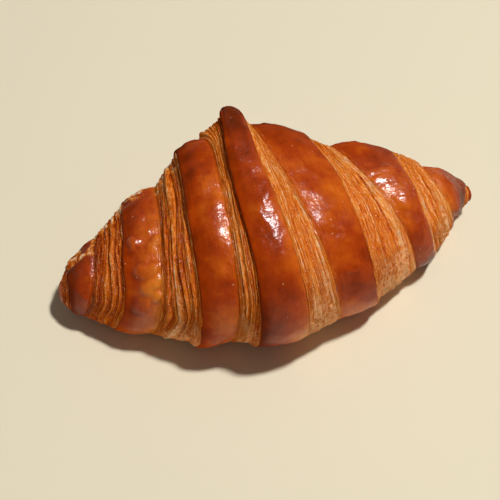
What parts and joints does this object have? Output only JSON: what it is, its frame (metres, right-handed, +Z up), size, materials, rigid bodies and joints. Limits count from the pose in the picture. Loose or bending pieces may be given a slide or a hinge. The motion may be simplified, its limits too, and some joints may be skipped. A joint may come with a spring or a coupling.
{
  "type": "croissant",
  "caption": "Baked croissant rolled from laminated dough, with glossy brown bands, flaky golden slopes between them and a raised middle flap.",
  "frame": {"origin": "middle of the base, under the centre of the bounding box", "axes": "+X along the roll towards its narrower tip, +Z up, +Y towards the back, where the middle flap stands up"},
  "size_m": [0.1648, 0.095, 0.0623],
  "materials": {
    "crust": "glossy egg-washed brown crust with matt golden layers between the bands"
  },
  "bodies": {
    "root": {"croissant": "crust"}
  },
  "joints": []
}
